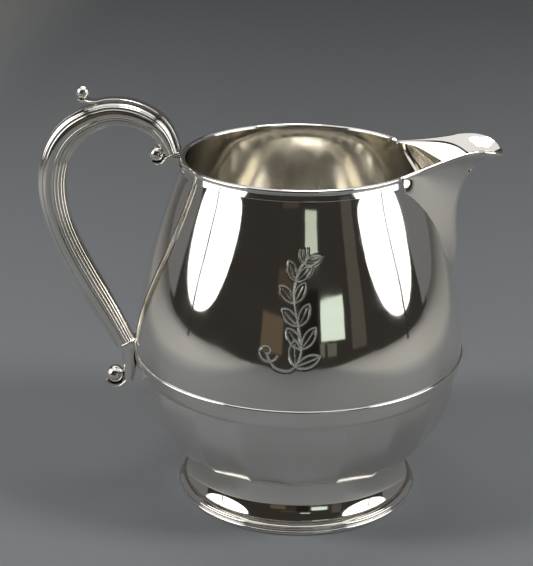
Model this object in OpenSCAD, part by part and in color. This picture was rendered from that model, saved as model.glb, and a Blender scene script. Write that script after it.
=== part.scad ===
/* [Body] */
// Outer radius of the body where it meets the belt
belly_r = 77.2; // [70:0.1:84]
// Height of the belt wire above the table
belt_z = 71.7; // [62:0.1:86.2]
// Outer radius of the body at the mouth
mouth_r = 54.1; // [48:0.1:65]
// Height of the edge of the mouth above the table
mouth_z = 163.5; // [136:0.1:197]
// How far the belly keeps rising straight up before it turns in
belly_pull = 39.6; // [30:0.1:48]
// How far the neck leans back out below the mouth
neck_pull = 10; // [6:0.1:14]
// Thickness of the body sheet
wall = 1.2; // [0.8:0.1:2]

/* [Belt] */
// Height of the plain band under the belt wire
band_h = 8; // [6.5:0.1:10]
// How much the band draws in towards its lower edge
band_taper = 1.1; // [0:0.1:1.5]
// Height of the half round wire over the joint
belt_wire_h = 1.7; // [1:0.1:2.4]

/* [Panelled bowl] */
// Number of flat panels round the bowl
panels = 20; // [12:1:24]
// How far the corners of the panels stand inside the band
panel_step = 0.4; // [0.1:0.1:1]
// Height of the underside of the bowl above the table
bowl_base_z = 24; // [20:0.1:26.5]
// Radius of the flat under the bowl
bowl_base_r = 50; // [44:0.1:53]

/* [Foot] */
// Largest radius of the foot
foot_r = 58; // [52:0.1:69.6]
// Height of the wire that the foot stands on
foot_wire_h = 2.1; // [1.6:0.1:3]
// Height of the small groove round the top of the foot moulding
foot_groove_z = 5.6; // [4.6:0.1:7]
// Height of the collar between foot and bowl
collar_h = 1.4; // [1:0.1:2]
// Thickness of the foot sheet
foot_wall = 1.2; // [0.8:0.1:1.6]

/* [Rim] */
// Radius of the round wire along the mouth
rim_wire_r = 1.1; // [0.8:0.1:1.5]
// Height of the flat fillet under the rim wire
rim_fillet_h = 2.9; // [2:0.1:4]
// Thickness of the flat fillet
rim_fillet_t = 0.9; // [0.6:0.1:1.4]

/* [Spout] */
// Half of the angle that the spout takes out of the mouth
spout_angle = 33.5; // [28:0.5:40.2]
// How far the tip stands out past the mouth
spout_reach = 36.2; // [30:0.1:43.5]
// Half of the width of the spout behind its tip
spout_half_w = 15; // [12:0.1:18]
// Height of the lowest point of the spout above the belt
spout_tail_h = 37.3; // [30:0.1:44.8]
// How far the lip rises above the mouth behind the tip
lip_rise = 7.4; // [5:0.1:9]
// How far the tip stands above the mouth
tip_rise = 3.2; // [1:0.1:5]
// Thickness of the spout sheet
spout_wall = 1.2; // [0.8:0.1:1.6]
// Radius of the wire along the lip
lip_wire_r = 0.9; // [0.7:0.1:1.2]
// Width left between the cut in the body and the seam of the spout
mouth_inset = 6; // [4:0.1:8]

/* [Handle] */
// How far the middle of the handle stands out from the body at its widest
handle_reach = 57.1; // [47.5:0.1:68.6]
// How far the ends of the handle stand out from the body
handle_stand = 6.4; // [6:0.1:7.5]
// Width of the handle at its middle
handle_w = 13; // [10.8:0.1:15.6]
// Width of the handle at its ends, as a share of its width at the middle
handle_taper = 0.8; // [0.7:0.05:1]
// Thickness of the sheet of the two halves
handle_wall = 1; // [0.8:0.1:1.4]
// Depth of the grooves between the reeds
reed_depth = 0.5; // [0:0.1:0.7]
// Width of the strip laid along the top of the handle
strip_w = 6.5; // [5:0.1:8]
// Thickness of that strip
strip_t = 1.3; // [1:0.1:1.8]
// Radius of the ball on the thumb piece
thumb_ball_r = 3; // [2.5:0.1:3.6]

/* [Handle ends] */
// Radius of the ball in the upper scroll
upper_ball_r = 3.6; // [3:0.1:4.2]
// Radius of the ball in the lower scroll
lower_ball_r = 4.4; // [3.7:0.1:5.2]
// Width of both scrolls
scroll_w = 9; // [7.5:0.1:10.8]
// Thickness of the collars at the ends of the reeds
collar_t = 1.3; // [1:0.1:1.8]
// Thickness of the plate between the lower scroll and the body
plate_t = 1.2; // [1:0.1:1.5]

/* [Hidden] */
silver = [0.78, 0.78, 0.76];
bright = [0.86, 0.86, 0.85];
shade = [0.62, 0.62, 0.6];
eps = 0.01;
band_z = belt_z - band_h;              // lower edge of the band
band_r = belly_r - band_taper;         // its outer radius there
corner_r = band_r - panel_step;        // radius of the panel corners at the top of the bowl
profile_steps = 26;
side_steps = 16;
under_steps = 8;

// A point at share t of a cubic curve with four control points
function bez(p, t) = pow(1 - t, 3) * p[0] + 3 * pow(1 - t, 2) * t * p[1]
                   + 3 * (1 - t) * t * t * p[2] + pow(t, 3) * p[3];
function bezPath(p, n) = [for (i = [0 : n]) bez(p, i / n)];
function mix(a, b, t) = a + (b - a) * t;
function flip(list) = [for (i = [len(list) - 1 : -1 : 0]) list[i]];
function smooth(t) = let(c = min(1, max(0, t))) c * c * (3 - 2 * c);

// A curve through a row of points; s runs from 0 to the last index
function through(p, s) =
    let(n = len(p) - 1, i = min(n - 1, max(0, floor(s))), t = s - i,
        a = p[max(0, i - 1)], b = p[i], c = p[i + 1], d = p[min(n, i + 2)])
    0.5 * (2 * b + (c - a) * t + (2 * a - 5 * b + 4 * c - d) * t * t + (3 * b - a - 3 * c + d) * t * t * t);

// A closed solid through a row of rings of equal length, with flat ends
module skinned(rings) {
    n = len(rings[0]);
    m = len(rings);
    points = [for (r = rings) each r];
    sides = [for (i = [0 : m - 2]) for (j = [0 : n - 1])
        [i * n + j, (i + 1) * n + j, (i + 1) * n + (j + 1) % n, i * n + (j + 1) % n]];
    low = [for (j = [0 : n - 1]) j];
    high = [for (j = [n - 1 : -1 : 0]) (m - 1) * n + j];
    polyhedron(points, concat(sides, [low, high]), convexity = 8);
}

// Body
upper_line = bezPath([[belly_r, belt_z], [belly_r, belt_z + belly_pull],
                      [mouth_r + 0.05 * neck_pull, mouth_z - neck_pull], [mouth_r, mouth_z]], profile_steps);
radius_at = [for (p = upper_line) [p[1], p[0]]];
function bodyR(z) = lookup(z, radius_at);

// Seam of the spout on the body and edge of its lip, from the middle (s = 0) to the side (s = 1)
seam_top_z = mouth_z - rim_wire_r - rim_fillet_h - 2.6;
seam_side = sin(spout_angle);
seam_bez = [[0, belt_z + spout_tail_h], [2.5, belt_z + spout_tail_h],
            [0.43 * bodyR(seam_top_z) * seam_side, seam_top_z - 15.5], [bodyR(seam_top_z) * seam_side, seam_top_z]];
function seamPoint(s) = let(p = bez(seam_bez, s), r = bodyR(p[1])) [sqrt(r * r - p[0] * p[0]), p[0], p[1]];
tip_x = mouth_r + spout_reach;
lip_start = [mouth_r * cos(spout_angle), mouth_r * sin(spout_angle), mouth_z - 0.7];
waist_x = tip_x - 10.5;
lip_front = [[tip_x, 0, mouth_z + tip_rise], [tip_x, 0.56 * spout_half_w, mouth_z + tip_rise + 1.2],
             [tip_x - 3.4, 0.88 * spout_half_w, mouth_z + lip_rise - 0.1],
             [waist_x, spout_half_w, mouth_z + lip_rise]];
lip_back = [lip_front[3], [waist_x - 7.5, spout_half_w + 1.8, mouth_z + lip_rise + 0.1],
            [waist_x - 16, 0.62 * lip_start[1], mouth_z + 0.5 * lip_rise], lip_start];
lip_share = 0.42;                      // share of s that the front curve takes
function lipPoint(s) = s < lip_share ? bez(lip_front, s / lip_share)
                                     : bez(lip_back, (s - lip_share) / (1 - lip_share));

// Direction away from the middle of the spout at a point of the lip, seen from above
function lipOut(s) = let(a = lipPoint(max(0, s - 0.01)), b = lipPoint(min(1, s + 0.01)),
                         d = [b[1] - a[1], a[0] - b[0], 0]) d / norm(d);
keel_run = norm(lipPoint(0) - seamPoint(0));
function sheet(s, t) =
    let(a = seamPoint(s), b = lipPoint(s), k = norm(b - a) / keel_run, out = lipOut(s),
        rise = mix([4.3, 0, 30.8], [-2, 0, 28], smooth(s)) * k,
        flare = mix(out * 28.8 + [0, 0, 11.5], out * 10.6 + [0, 0, 2], smooth(s)) * k)
    bez([a, a + rise, b - flare, b], t);

// The whole sheet, s from -1 to 1
function sheetAt(s, t) = let(p = sheet(abs(s), t)) s < 0 ? [p[0], -p[1], p[2]] : p;
function sheetNormal(s, t) =
    let(e = 0.02, c = min(1 - e, max(-1 + e, s)), h = min(1 - e, max(e, t)),
        n = cross(sheetAt(c + e, h) - sheetAt(c - e, h), sheetAt(c, h + e) - sheetAt(c, h - e))) n / norm(n);
across = 30;                           // steps across the spout
along = 14;                            // steps from seam to lip
module spoutSheet() {
    skinned([for (i = [0 : across]) let(s = -1 + 2 * i / across) concat(
        [for (j = [0 : along]) sheetAt(s, j / along)],
        [for (j = [along : -1 : 0]) sheetAt(s, j / along) - spout_wall * sheetNormal(s, j / along)])]);
}

// Handle: share of its reach, share of its height over the belt, depth of its section
handle_knots = [[-0.027, 1.011, 6.4], [0.07, 1.084, 9], [0.185, 1.145, 10.4], [0.37, 1.192, 11.6],
                [0.58, 1.206, 12.2], [0.765, 1.175, 12.9], [0.926, 1.107, 13.9], [1.014, 0.995, 13.8],
                [1, 0.842, 13.5], [0.893, 0.679, 12.7], [0.728, 0.521, 12.6], [0.491, 0.341, 12.8],
                [0.228, 0.159, 12.1], [-0.014, -0.013, 10.2]];
last_knot = len(handle_knots) - 1;
body_h = mouth_z - belt_z;
function spine(s) = let(k = through(handle_knots, s))
    [-(mix(belly_r, mouth_r, k[1]) + mix(handle_stand, handle_reach, k[0])), belt_z + k[1] * body_h];
function depthAt(s) = through(handle_knots, s)[2];
function widthAt(s) = let(m = s / last_knot)
    handle_w * mix(handle_taper, 1, smooth(min(m, 1 - m) * 4));
// Outward direction of the handle in its own plane
function outward(s) = let(e = 0.05, d = spine(min(last_knot, s + e)) - spine(max(0, s - e))) [d[1], -d[0]] / norm(d);
function place(s, u, v) = let(c = spine(s), o = outward(s)) [c[0] + o[0] * u, v, c[1] + o[1] * u];
reed_steps = 14;
function reedPoint(s, a, inset) = let(dip = reed_depth * pow(sin(3.5 * (a + 90)), 2) * (inset > 0 ? 0 : 1))
    place(s, (depthAt(s) / 2 - inset - dip) * sin(a), (widthAt(s) / 2 - inset - dip) * cos(a));
ring_steps = 52;
module handleHalf() {
    skinned([for (i = [0 : ring_steps]) let(s = last_knot * i / ring_steps,
        outer = [for (j = [0 : reed_steps]) reedPoint(s, 180 * j / reed_steps - 90, 0)],
        inner = [for (j = [0 : reed_steps]) reedPoint(s, 90 - 180 * j / reed_steps, handle_wall)])
        concat(outer, inner)]);
}

// A tapering tongue along a curve of [x, z, thickness] points; the lower `square`, the flatter its sides
tongue_sides = 12;
module tongue(knots, width, steps, square = 0.6) {
    n = len(knots) - 1;
    skinned([for (i = [0 : steps]) let(s = n * i / steps, k = through(knots, s), e = 0.05,
        d = through(knots, min(n, s + e)) - through(knots, max(0, s - e)), q = [d[1], -d[0]] / norm([d[0], d[1]]))
        [for (j = [0 : tongue_sides - 1]) let(a = 360 * (j + 0.5) / tongue_sides,
            c = cos(a), w = sin(a), u = k[2] / 2 * sign(c) * pow(abs(c), square),
            v = width / 2 * sign(w) * pow(abs(w), square)) [k[0] + q[0] * u, v, k[1] + q[1] * u]]]);
}

// Places that the ends of the handle hang from
top_end = spine(0);
low_end = spine(last_knot);
rim_out_r = mouth_r + 0.4 + rim_wire_r;
upper_ball_at = [top_end[0] - 3.2 - upper_ball_r - 0.2, top_end[1] - 0.9];
lower_ball_at = [low_end[0] - 0.8 - lower_ball_r, low_end[1] - 17.7];

module upper_body() {
    color(silver) difference() {
        rotate_extrude($fn = 96) polygon(concat(upper_line, flip([for (p = upper_line) [p[0] - wall, p[1]]])));
        // Opening between the body and the spout
        cut = [for (i = [0 : 12]) let(p = bez(seam_bez, 0.18 + 0.82 * i / 12)) [max(0.5, p[0] - mouth_inset), p[1] + 2]];
        translate([belly_r - 1, 0, 0]) rotate([90, 0, -90]) linear_extrude(belly_r - 21)
            polygon(concat(cut, [[cut[12][0] + 0.6, mouth_z + 5], [-cut[12][0] - 0.6, mouth_z + 5]],
                           flip([for (p = cut) [-p[0], p[1]]])));
    }
}

module belt_band() {
    color(silver) rotate_extrude($fn = 96) polygon([[belly_r, belt_z], [belly_r - 0.3, belt_z - 0.5], [band_r, band_z],
        [corner_r - wall - 0.4, band_z], [belly_r - wall, belt_z]]);
}

module belt_wire() {
    color(bright) rotate_extrude($fn = 96) difference() {
        translate([belly_r, belt_z]) circle(d = belt_wire_h, $fn = 32);
        translate([0, belt_z - belt_wire_h]) square([belly_r, 2 * belt_wire_h]);
        polygon([[belly_r + eps, belt_z + eps], [belly_r - 1, belt_z - 1.8], [belly_r - 0.3, belt_z - 0.5]]);
    }
}

// The corners of the bowl, from its upper edge down and in to the flat under it
knee = [corner_r - 14.4, bowl_base_z + 3.4];
side_line = bezPath([[corner_r, band_z], [corner_r, band_z - 12], [knee[0] + 8, knee[1] + 9.4], knee], side_steps);
under_line = bezPath([knee, [knee[0] - 1.3, knee[1] - 1.6], [knee[0] - 4, bowl_base_z + 1.2],
                      [bowl_base_r, bowl_base_z]], under_steps);
module lower_bowl() {
    outer = concat(side_line, [for (i = [1 : under_steps]) under_line[i]]);
    m = len(outer) - 1;
    inner = [for (i = [m : -1 : 0]) let(a = outer[max(0, i - 1)], b = outer[min(m, i + 1)], d = (b - a) / norm(b - a))
        i == 0 ? [outer[0][0] - wall, band_z] : [outer[i][0] + d[1] * wall, outer[i][1] - d[0] * wall]];
    line = concat(outer, inner);
    turn = 360 / panels;
    n = len(line);
    points = [for (k = [0 : panels - 1]) for (p = line) [p[0] * cos(k * turn), p[0] * sin(k * turn), p[1]]];
    middle = [[0, 0, outer[m][1]], [0, 0, inner[0][1]]];
    walls = [for (k = [0 : panels - 1]) for (i = [0 : n - 1]) if (i != m)
        [k * n + i, k * n + (i + 1) % n, ((k + 1) % panels) * n + (i + 1) % n, ((k + 1) % panels) * n + i]];
    floors = [for (k = [0 : panels - 1]) for (side = [0, 1]) side == 0
        ? [k * n + m, panels * n, ((k + 1) % panels) * n + m]
        : [panels * n + 1, k * n + m + 1, ((k + 1) % panels) * n + m + 1]];
    color(silver) polyhedron(concat(points, middle), concat(walls, floors), convexity = 6);
}

foot_top_z = bowl_base_z - collar_h;
groove_r = foot_r - 3.9;
module foot_collar() {
    color(bright) rotate_extrude($fn = 96) intersection() {
        translate([bowl_base_r - 0.2, bowl_base_z - collar_h / 2]) circle(r = 1.5, $fn = 32);
        translate([bowl_base_r - foot_wall, foot_top_z]) square([4, collar_h]);
    }
}

module foot() {
    flare = [[bowl_base_r, foot_top_z], [bowl_base_r, foot_groove_z + 7.4],
             [groove_r - 2.9, foot_groove_z + 3.6], [groove_r, foot_groove_z]];
    outside = concat(bezPath(flare, 14), [[groove_r, foot_groove_z - 0.5], [groove_r + 0.8, foot_groove_z - 0.6],
        [groove_r + 2, foot_groove_z - 1.1], [groove_r + 2.6, foot_groove_z - 1.7]]);
    bead = [for (a = [40 : -20 : -60]) [foot_r - 1.5 + 0.9 * cos(a), foot_wire_h + 0.9 + 0.9 * sin(a)]];
    inside = flip([for (p = bezPath(flare, 14)) [p[0] - foot_wall, p[1] - foot_wall * (foot_top_z - p[1]) / foot_top_z]]);
    color(silver) rotate_extrude($fn = 96)
        polygon(concat(outside, bead, [[foot_r - 1.2, foot_wire_h], [foot_r - 2.4, foot_wire_h]], inside));
}

module foot_rim_wire() {
    color(bright) rotate_extrude($fn = 96) {
        translate([foot_r - foot_wire_h / 2, foot_wire_h / 2]) circle(d = foot_wire_h, $fn = 32);
        translate([foot_r - 2.4, 0]) square([2.4 - foot_wire_h / 2, foot_wire_h]);
    }
}

module rim_moulding() {
    bottom = mouth_z - rim_wire_r - rim_fillet_h;
    bead = [for (a = [-50 : 10 : 180]) [mouth_r + 0.4 + rim_wire_r * cos(a), mouth_z + rim_wire_r * sin(a)]];
    color(bright) rotate([0, 0, spout_angle]) rotate_extrude(angle = 360 - 2 * spout_angle, $fn = 96)
        polygon(concat([[mouth_r, mouth_z], [bodyR(bottom), bottom], [bodyR(bottom) + rim_fillet_t - 0.3, bottom],
                        [bodyR(bottom) + rim_fillet_t, bottom + 0.3], [mouth_r + rim_fillet_t, mouth_z - rim_wire_r - 0.3],
                        [mouth_r + 0.6, mouth_z - rim_wire_r - 0.2]], bead));
}

module spout() { color(silver) spoutSheet(); }

lip_rings = 60;
module spout_lip_wire() {
    color(bright) skinned([for (i = [0 : lip_rings]) let(s = -1 + 2 * i / lip_rings, e = 0.01,
        p = sheetAt(s, 1), q = lipOut(abs(s)), o = s < 0 ? [q[0], -q[1], 0] : q,
        d = sheetAt(min(1, s + e), 1) - sheetAt(max(-1, s - e), 1), u = cross(o, d) / norm(cross(o, d)))
        [for (j = [0 : 9]) p + [0, 0, 0.2] + lip_wire_r * (o * cos(36 * j) + u * sin(36 * j))]]);
}

module handle_left_half() { color(silver) mirror([0, 1, 0]) handleHalf(); }
module handle_right_half() { color(shade) handleHalf(); }

// The strip lies on the handle as far as knot strip_lift, then leaves it and curls up round its ball
strip_lift = 4.6;
strip_on = [for (i = [0 : 12]) let(s = 0.12 + (strip_lift - 0.12) * i / 12, p = place(s, depthAt(s) / 2 + strip_t / 2, 0))
    [p[0], p[2], strip_t]];
lift_off = place(strip_lift, depthAt(strip_lift) / 2 + strip_t / 2, 0);
thumb_at = [lift_off[0] - 5.6, lift_off[2] + thumb_ball_r + 1];
curl_r = thumb_ball_r + strip_t / 2;
module thumb_strip() {
    curl = [for (a = [-75, -100, -128]) [thumb_at[0] + curl_r * cos(a), thumb_at[1] + curl_r * sin(a),
                                         strip_t * (a < -120 ? 0.5 : 0.9)]];
    color(bright) tongue(concat(strip_on, curl), strip_w, 46);
}

module thumb_ball() { color(bright) translate([thumb_at[0], 0, thumb_at[1]]) sphere(r = thumb_ball_r, $fn = 48); }

// Collar across the reeds at one end of the handle; it runs from `from` to `from + collar_t` along the handle
// and reaches outwards as far as `reach`, a share of the depth of the handle
module endCollar(s, from, reach) {
    c = spine(s);
    o = outward(s);
    deep = depthAt(s) + 1.2;
    wide = widthAt(s) + 1.2;
    translate([c[0], 0, c[1]]) rotate([0, atan2(-o[1], o[0]), 0]) translate([0, 0, from]) linear_extrude(collar_t)
        intersection() {
            circle(d = 1.12 * wide, $fn = 64);
            translate([-deep / 2, -wide / 2]) square([deep * (0.5 + reach), wide]);
        }
}

module upper_collar() { color(bright) endCollar(0, -collar_t, 0.5); }

// Block that carries the handle on the rim
bracket_w = handle_w * handle_taper - 1;
bracket_low_z = mouth_z - rim_wire_r - rim_fillet_h;
module upper_bracket() {
    top = top_end[1] - collar_t;
    back = top_end[0] - 2.9;
    color(silver) difference() {
        rotate([90, 0, 0]) linear_extrude(bracket_w, center = true)
            polygon([[-mouth_r, top - 0.1], [back, top - 0.1], [back, top - 2], [back + 0.8, top - 2.8],
                     [-rim_out_r - 1.6, top - 3.2], [-mouth_r, bracket_low_z]]);
        translate([0, 0, mouth_z - 20]) cylinder(r = rim_out_r, h = 40, $fn = 96);
    }
}

// Scroll that starts at `root` and wraps under a ball as far as angle `last`, thinning towards its tip
function wrap(ball, r, first, last, thick, n) = [for (i = [0 : n]) let(a = mix(first, last, i / n),
    t = mix(thick, 0.8, smooth(i / n))) [ball[0] + (r + t / 2) * cos(a), ball[1] + (r + t / 2) * sin(a), t]];
module upper_scroll() {
    color(silver) tongue(concat([[top_end[0] - 2.4, top_end[1] - collar_t - 1.4, 2.6]],
        wrap(upper_ball_at, upper_ball_r, -55, -125, 2, 4)), scroll_w - 1.5, 24, 0.8);
}

module upper_ball() {
    color(bright) translate([upper_ball_at[0], 0, upper_ball_at[1]]) sphere(r = upper_ball_r, $fn = 48);
}

module lower_collar() { color(bright) endCollar(last_knot, 0, 0.1); }

plate_r = band_r + 0.05;               // inner radius of the plate against the band
module lower_scroll() {
    inner = -plate_r - plate_t + 0.17;
    turn = [[-10, 4.9], [-35, 2.8], [-65, 1.6], [-105, 1], [-150, 0.8]];
    color(silver) tongue(concat([[inner - 4.5, low_end[1] - 0.1, 9], [inner - 4, low_end[1] - 7.9, 6.3],
        [inner - 3.8, low_end[1] - 12.6, 6.7]], [for (k = turn) let(r = lower_ball_r + k[1] / 2)
        [lower_ball_at[0] + r * cos(k[0]), lower_ball_at[1] + r * sin(k[0]), k[1]]]), scroll_w, 34, 0.85);
}

module lower_ball() {
    color(bright) translate([lower_ball_at[0], 0, lower_ball_at[1]]) sphere(r = lower_ball_r, $fn = 48);
}

// Leaf shaped plate between the lower scroll and the belt
plate_w = 10;
plate_low = band_z - 8;
module lower_plate() {
    top = belt_z - belt_wire_h / 2 - 0.2;
    color(silver) intersection() {
        rotate([0, 0, 174]) rotate_extrude(angle = 12, $fn = 96)
            polygon([[belly_r - 0.1, top], [plate_r, band_z], [plate_r, plate_low],
                     [plate_r + plate_t, plate_low], [plate_r + plate_t, band_z], [belly_r + plate_t * 0.5, top]]);
        rotate([90, 0, -90]) linear_extrude(belly_r + 10)
            polygon([[-plate_w / 2, top + 1], [-plate_w / 2, band_z - 1], [0, plate_low - 1.5],
                     [plate_w / 2, band_z - 1], [plate_w / 2, top + 1]]);
    }
}

upper_body();
belt_band();
belt_wire();
lower_bowl();
foot_collar();
foot();
foot_rim_wire();
rim_moulding();
spout();
spout_lip_wire();
handle_left_half();
handle_right_half();
thumb_strip();
thumb_ball();
upper_collar();
upper_bracket();
upper_scroll();
upper_ball();
lower_collar();
lower_scroll();
lower_ball();
lower_plate();
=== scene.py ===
import bmesh
import bpy
import math
import numpy as np
from mathutils import Matrix, Vector, noise


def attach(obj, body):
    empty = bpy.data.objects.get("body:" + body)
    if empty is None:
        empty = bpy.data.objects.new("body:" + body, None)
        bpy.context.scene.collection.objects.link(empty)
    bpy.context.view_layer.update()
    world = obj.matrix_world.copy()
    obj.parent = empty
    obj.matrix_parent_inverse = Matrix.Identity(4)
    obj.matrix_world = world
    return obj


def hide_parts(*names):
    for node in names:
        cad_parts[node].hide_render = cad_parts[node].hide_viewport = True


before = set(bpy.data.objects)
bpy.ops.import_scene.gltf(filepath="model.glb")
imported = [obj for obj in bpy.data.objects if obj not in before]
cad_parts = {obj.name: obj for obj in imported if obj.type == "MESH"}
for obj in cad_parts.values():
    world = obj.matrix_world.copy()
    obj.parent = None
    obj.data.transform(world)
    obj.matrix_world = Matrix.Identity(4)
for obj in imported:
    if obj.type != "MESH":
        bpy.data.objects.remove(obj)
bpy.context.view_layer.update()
mm = 0.001


def bez(p, t):
    p = [np.asarray(q, float) for q in p]
    t = np.asarray(t, float)[..., None]
    return (1 - t) ** 3 * p[0] + 3 * (1 - t) ** 2 * t * p[1] + 3 * (1 - t) * t * t * p[2] + t ** 3 * p[3]


def through(p, s):
    # smooth curve through a row of points, s from 0 to the last index
    p = np.asarray(p, float)
    n = len(p) - 1
    s = np.atleast_1d(np.asarray(s, float))
    i = np.clip(np.floor(s).astype(int), 0, n - 1)
    t = (s - i)[:, None]
    a, b, c, d = p[np.maximum(i - 1, 0)], p[i], p[i + 1], p[np.minimum(i + 2, n)]
    square, cube = 2 * a - 5 * b + 4 * c - d, 3 * b - a - 3 * c + d
    return 0.5 * (2 * b + (c - a) * t + square * t * t + cube * t ** 3)


def mix(a, b, t):
    return a + (b - a) * t


def smoothStep(t):
    t = np.clip(t, 0, 1)
    return t * t * (3 - 2 * t)


def arc(cx, cy, r, first, last, steps):
    a = np.radians(np.linspace(first, last, steps + 1))
    return [(cx + r * math.cos(k), cy + r * math.sin(k)) for k in a]


def signedVolume(points, faces):
    total = 0.0
    for f in faces:
        a = points[f[0]]
        for k in range(1, len(f) - 1):
            total += float(np.dot(a, np.cross(points[f[k]], points[f[k + 1]])))
    return total


def makePiece(name, points, faces, material, edgeAngle=32):
    # points in millimetres; a closed skin is turned so that it faces outwards
    points = np.asarray(points, float)
    if signedVolume(points, faces) < 0:
        faces = [tuple(reversed(f)) for f in faces]
    mesh = bpy.data.meshes.new(name)
    mesh.from_pydata([tuple(p) for p in points * mm], [], [tuple(int(k) for k in f) for f in faces])
    mesh.materials.append(material)
    piece = bpy.data.objects.new(name, mesh)
    bpy.context.scene.collection.objects.link(piece)
    mergeAndSmooth(piece, edgeAngle)
    return piece


def mergeAndSmooth(piece, edgeAngle=32):
    mesh = piece.data
    work = bmesh.new()
    work.from_mesh(mesh)
    bmesh.ops.remove_doubles(work, verts=work.verts, dist=2e-7)
    work.to_mesh(mesh)
    work.free()
    mesh.validate()
    mesh.polygons.foreach_set("use_smooth", [True] * len(mesh.polygons))
    mesh.set_sharp_from_angle(angle=math.radians(edgeAngle))
    mesh.update()


def ringGrid(rings, closeEnds=True):
    # rings of equal length, each closed round; ends are capped with one face
    n, m = len(rings[0]), len(rings)
    points = [p for ring in rings for p in ring]
    faces = [(i * n + j, (i + 1) * n + j, (i + 1) * n + (j + 1) % n, i * n + (j + 1) % n)
             for i in range(m - 1) for j in range(n)]
    if closeEnds:
        faces.append(tuple(range(n)))
        faces.append(tuple((m - 1) * n + j for j in range(n - 1, -1, -1)))
    return points, faces


def turned(name, outline, material, steps=256, edgeAngle=32):
    # a closed outline of (radius, height) turned round the upright axis
    angles = [2 * math.pi * k / steps for k in range(steps)]
    rings = [[(r * math.cos(a), r * math.sin(a), z) for r, z in outline] for a in angles]
    points, faces = ringGrid(rings + rings[:1], closeEnds=False)
    return makePiece(name, points, faces, material, edgeAngle)


def finishPiece(piece, nodes):
    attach(piece, "root")
    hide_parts(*nodes)


def adder(tree):
    # gives a function that adds one node: its settings, then for each input a value or an output to link
    def add(kind, inputs=None, **settings):
        node = tree.nodes.new(kind)
        for label, value in settings.items():
            setattr(node, label, value)
        for label, value in (inputs or {}).items():
            if isinstance(value, bpy.types.NodeSocket):
                tree.links.new(value, node.inputs[label])
            else:
                node.inputs[label].default_value = value
        return node

    return add


# rough is the range of roughness; grain and wave are the depths of wipe marks and hammer waves, in metres
silverFinish = {
    "polished": {"colour": (0.93, 0.90, 0.845), "rough": (0.035, 0.075),
                 "grain": 2e-5, "wave": 6e-5, "waveScale": 38.0},
    "satin": {"colour": (0.95, 0.93, 0.875), "rough": (0.13, 0.21),
              "grain": 4e-5, "wave": 5e-5, "waveScale": 60.0},
    "panel": {"colour": (0.98, 0.96, 0.92), "rough": (0.12, 0.15),
              "grain": 4e-5, "wave": 5e-5, "waveScale": 60.0, "metal": 0.78, "darkest": 0.76},
    "inside": {"colour": (0.91, 0.88, 0.80), "rough": (0.08, 0.16),
               "grain": 4e-5, "wave": 1.2e-4, "waveScale": 45.0},
    "bowlInside": {"colour": (0.88, 0.83, 0.70), "rough": (0.2, 0.32),
                   "grain": 4e-5, "wave": 8e-5, "waveScale": 60.0},
    "bottom": {"colour": (0.95, 0.93, 0.89), "rough": (0.46, 0.58),
               "grain": 4e-5, "wave": 5e-5, "waveScale": 60.0},
    "cut": {"colour": (0.95, 0.94, 0.92), "rough": (0.34, 0.5),
            "grain": 4e-5, "wave": 2e-5, "waveScale": 90.0},
    "wire": {"colour": (0.93, 0.92, 0.89), "rough": (0.04, 0.09),
             "grain": 2e-5, "wave": 2e-5, "waveScale": 90.0},
    "handle": {"colour": (0.92, 0.895, 0.845), "rough": (0.06, 0.14),
               "grain": 3e-5, "wave": 4e-5, "waveScale": 80.0},
}
tarnish = {"tint": (0.97, 0.955, 0.925), "from": 0.35, "to": 0.62, "scale": 55.0}
wipeMarks = {"turn": (0.4, 0.2, 0.7), "scale": (2600.0, 160.0, 2100.0), "share": 0.35}


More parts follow.
